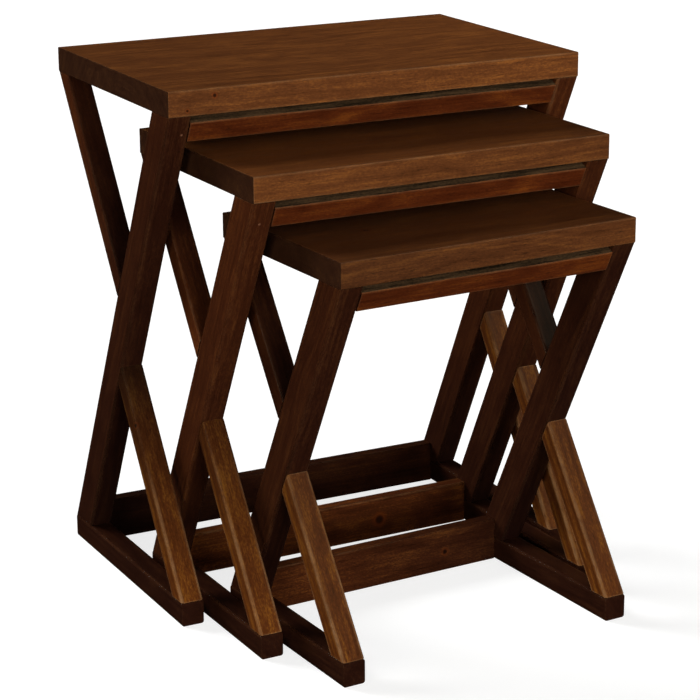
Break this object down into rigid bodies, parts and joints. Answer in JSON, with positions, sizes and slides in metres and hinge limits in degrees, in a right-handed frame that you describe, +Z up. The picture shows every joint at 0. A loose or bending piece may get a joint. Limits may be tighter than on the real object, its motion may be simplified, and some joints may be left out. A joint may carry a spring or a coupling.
{
  "type": "nesting tables",
  "caption": "Nest of dark hardwood side tables on crossed side frames, each smaller one sliding under the next larger one.",
  "frame": {"origin": "centre of the whole nest's outline in plan, on the floor", "axes": "+X to the right along the large table's width, +Y towards the back of the large table, +Z up"},
  "size_m": [0.512, 0.5536, 0.61],
  "materials": {
    "board": "dark walnut stain on solid hardwood boards, satin lacquer",
    "frame": "dark walnut stain on solid hardwood frame members, satin lacquer",
    "rail": "reddish walnut stain on solid hardwood rails, satin lacquer",
    "dowel": "bare fluted beech dowel, glued in"
  },
  "bodies": {
    "large_table": {"large_top_board": "board", "large_front_apron": "rail", "large_rear_rail": "rail", "large_left_leg": "frame", "large_right_leg": "frame", "large_left_back_brace": "frame", "large_right_back_brace": "frame", "large_left_front_brace": "frame", "large_right_front_brace": "frame", "large_left_runner": "frame", "large_right_runner": "frame", "large_top_dowels": "dowel", "large_frame_dowels": "dowel", "large_rail_dowels": "dowel"},
    "medium_table": {"medium_top_board": "board", "medium_front_apron": "rail", "medium_rear_rail": "rail", "medium_left_leg": "frame", "medium_right_leg": "frame", "medium_left_back_brace": "frame", "medium_right_back_brace": "frame", "medium_left_front_brace": "frame", "medium_right_front_brace": "frame", "medium_left_runner": "frame", "medium_right_runner": "frame", "medium_top_dowels": "dowel", "medium_frame_dowels": "dowel", "medium_rail_dowels": "dowel"},
    "small_table": {"small_top_board": "board", "small_front_apron": "rail", "small_rear_rail": "rail", "small_left_leg": "frame", "small_right_leg": "frame", "small_left_back_brace": "frame", "small_right_back_brace": "frame", "small_left_front_brace": "frame", "small_right_front_brace": "frame", "small_left_runner": "frame", "small_right_runner": "frame", "small_top_dowels": "dowel", "small_frame_dowels": "dowel", "small_rail_dowels": "dowel"}
  },
  "joints": [
    {"name": "medium_slide", "type": "slide", "parent": "large_table", "child": "medium_table", "axis": [0.0183, -0.9998, 0], "range_m": [-0.116, 0.35]},
    {"name": "small_slide", "type": "slide", "parent": "medium_table", "child": "small_table", "axis": [0.055, -0.9985, 0], "range_m": [-0.095, 0.3]}
  ]
}
